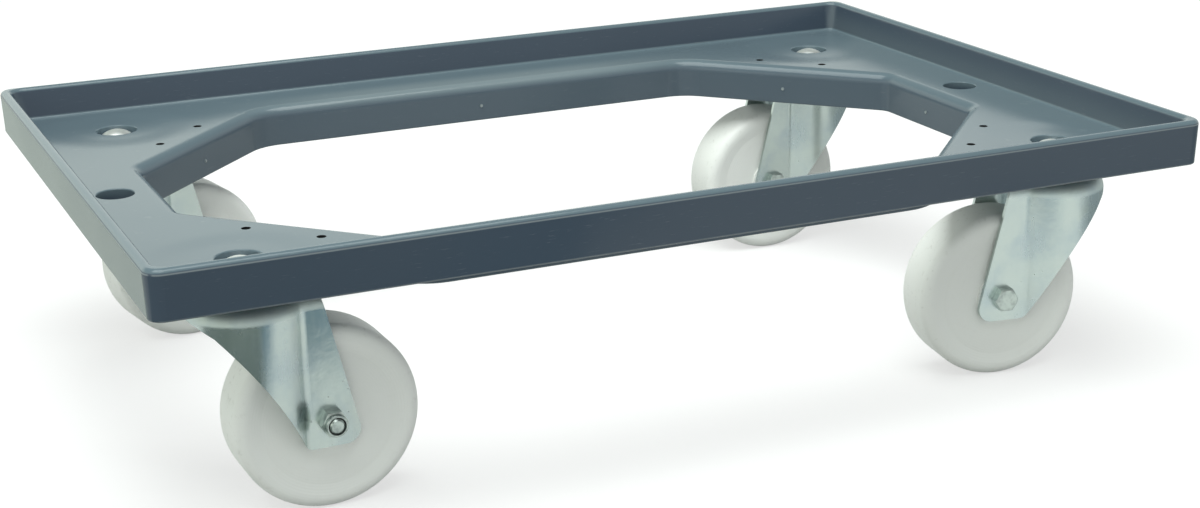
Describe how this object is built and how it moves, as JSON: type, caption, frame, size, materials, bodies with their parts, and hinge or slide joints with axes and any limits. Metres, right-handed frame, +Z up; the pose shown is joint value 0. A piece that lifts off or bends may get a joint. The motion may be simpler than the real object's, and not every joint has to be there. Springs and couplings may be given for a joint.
{
  "type": "platform dolly",
  "caption": "Low moulded tray dolly with a raised rim and a central octagonal opening, on swivel casters with plain white wheels, for moving stacked crates.",
  "frame": {"origin": "on the ground, under the middle of the tray", "axes": "+X along the long side, +Y towards the rear long side, +Z up"},
  "size_m": [0.6148, 0.4148, 0.158],
  "materials": {
    "deck_plastic": "satin moulded",
    "wheel_plastic": "satin",
    "zinc_sheet": "zinc plated",
    "zinc_bolts": "zinc plated",
    "ball_steel": "polished"
  },
  "bodies": {
    "deck": {"deck": "deck_plastic", "front_left_mounting_bolt": "zinc_bolts", "front_left_mounting_nut": "zinc_bolts", "front_left_upper_race": "zinc_sheet", "front_left_upper_balls": "ball_steel", "front_left_king_sleeve": "zinc_sheet", "front_left_lower_balls": "ball_steel", "front_left_lower_race": "zinc_sheet", "front_right_mounting_bolt": "zinc_bolts", "front_right_mounting_nut": "zinc_bolts", "front_right_upper_race": "zinc_sheet", "front_right_upper_balls": "ball_steel", "front_right_king_sleeve": "zinc_sheet", "front_right_lower_balls": "ball_steel", "front_right_lower_race": "zinc_sheet", "rear_left_mounting_bolt": "zinc_bolts", "rear_left_mounting_nut": "zinc_bolts", "rear_left_upper_race": "zinc_sheet", "rear_left_upper_balls": "ball_steel", "rear_left_king_sleeve": "zinc_sheet", "rear_left_lower_balls": "ball_steel", "rear_left_lower_race": "zinc_sheet", "rear_right_mounting_bolt": "zinc_bolts", "rear_right_mounting_nut": "zinc_bolts", "rear_right_upper_race": "zinc_sheet", "rear_right_upper_balls": "ball_steel", "rear_right_king_sleeve": "zinc_sheet", "rear_right_lower_balls": "ball_steel", "rear_right_lower_race": "zinc_sheet"},
    "front_left_swivel_fork": {"front_left_fork": "zinc_sheet", "front_left_axle_bolt": "zinc_bolts", "front_left_axle_nut": "zinc_bolts", "front_left_axle_tube": "zinc_bolts"},
    "front_left_rolling_wheel": {"front_left_wheel": "wheel_plastic"},
    "front_right_swivel_fork": {"front_right_fork": "zinc_sheet", "front_right_axle_bolt": "zinc_bolts", "front_right_axle_nut": "zinc_bolts", "front_right_axle_tube": "zinc_bolts"},
    "front_right_rolling_wheel": {"front_right_wheel": "wheel_plastic"},
    "rear_left_swivel_fork": {"rear_left_fork": "zinc_sheet", "rear_left_axle_bolt": "zinc_bolts", "rear_left_axle_nut": "zinc_bolts", "rear_left_axle_tube": "zinc_bolts"},
    "rear_left_rolling_wheel": {"rear_left_wheel": "wheel_plastic"},
    "rear_right_swivel_fork": {"rear_right_fork": "zinc_sheet", "rear_right_axle_bolt": "zinc_bolts", "rear_right_axle_nut": "zinc_bolts", "rear_right_axle_tube": "zinc_bolts"},
    "rear_right_rolling_wheel": {"rear_right_wheel": "wheel_plastic"}
  },
  "joints": [
    {"name": "front_left_swivel", "type": "hinge", "parent": "deck", "child": "front_left_swivel_fork", "pos_m": [-0.2473, -0.1442, 0.1225], "axis": [0, 0, 1], "continuous": true},
    {"name": "front_left_roll", "type": "hinge", "parent": "front_left_swivel_fork", "child": "front_left_rolling_wheel", "pos_m": [-0.21001, -0.14342, 0.05], "axis": [-0.0209, 0.9998, 0], "continuous": true},
    {"name": "front_right_swivel", "type": "hinge", "parent": "deck", "child": "front_right_swivel_fork", "pos_m": [0.2473, -0.1442, 0.1225], "axis": [0, 0, 1], "continuous": true},
    {"name": "front_right_roll", "type": "hinge", "parent": "front_right_swivel_fork", "child": "front_right_rolling_wheel", "pos_m": [0.21041, -0.13869, 0.05], "axis": [-0.1478, -0.989, 0], "continuous": true},
    {"name": "rear_left_swivel", "type": "hinge", "parent": "deck", "child": "rear_left_swivel_fork", "pos_m": [-0.2473, 0.1442, 0.1225], "axis": [0, 0, 1], "continuous": true},
    {"name": "rear_left_roll", "type": "hinge", "parent": "rear_left_swivel_fork", "child": "rear_left_rolling_wheel", "pos_m": [-0.21054, 0.15055, 0.05], "axis": [-0.1702, 0.9854, 0], "continuous": true},
    {"name": "rear_right_swivel", "type": "hinge", "parent": "deck", "child": "rear_right_swivel_fork", "pos_m": [0.2473, 0.1442, 0.1225], "axis": [0, 0, 1], "continuous": true},
    {"name": "rear_right_roll", "type": "hinge", "parent": "rear_right_swivel_fork", "child": "rear_right_rolling_wheel", "pos_m": [0.21001, 0.14492, 0.05], "axis": [-0.0192, -0.9998, 0], "continuous": true}
  ]
}
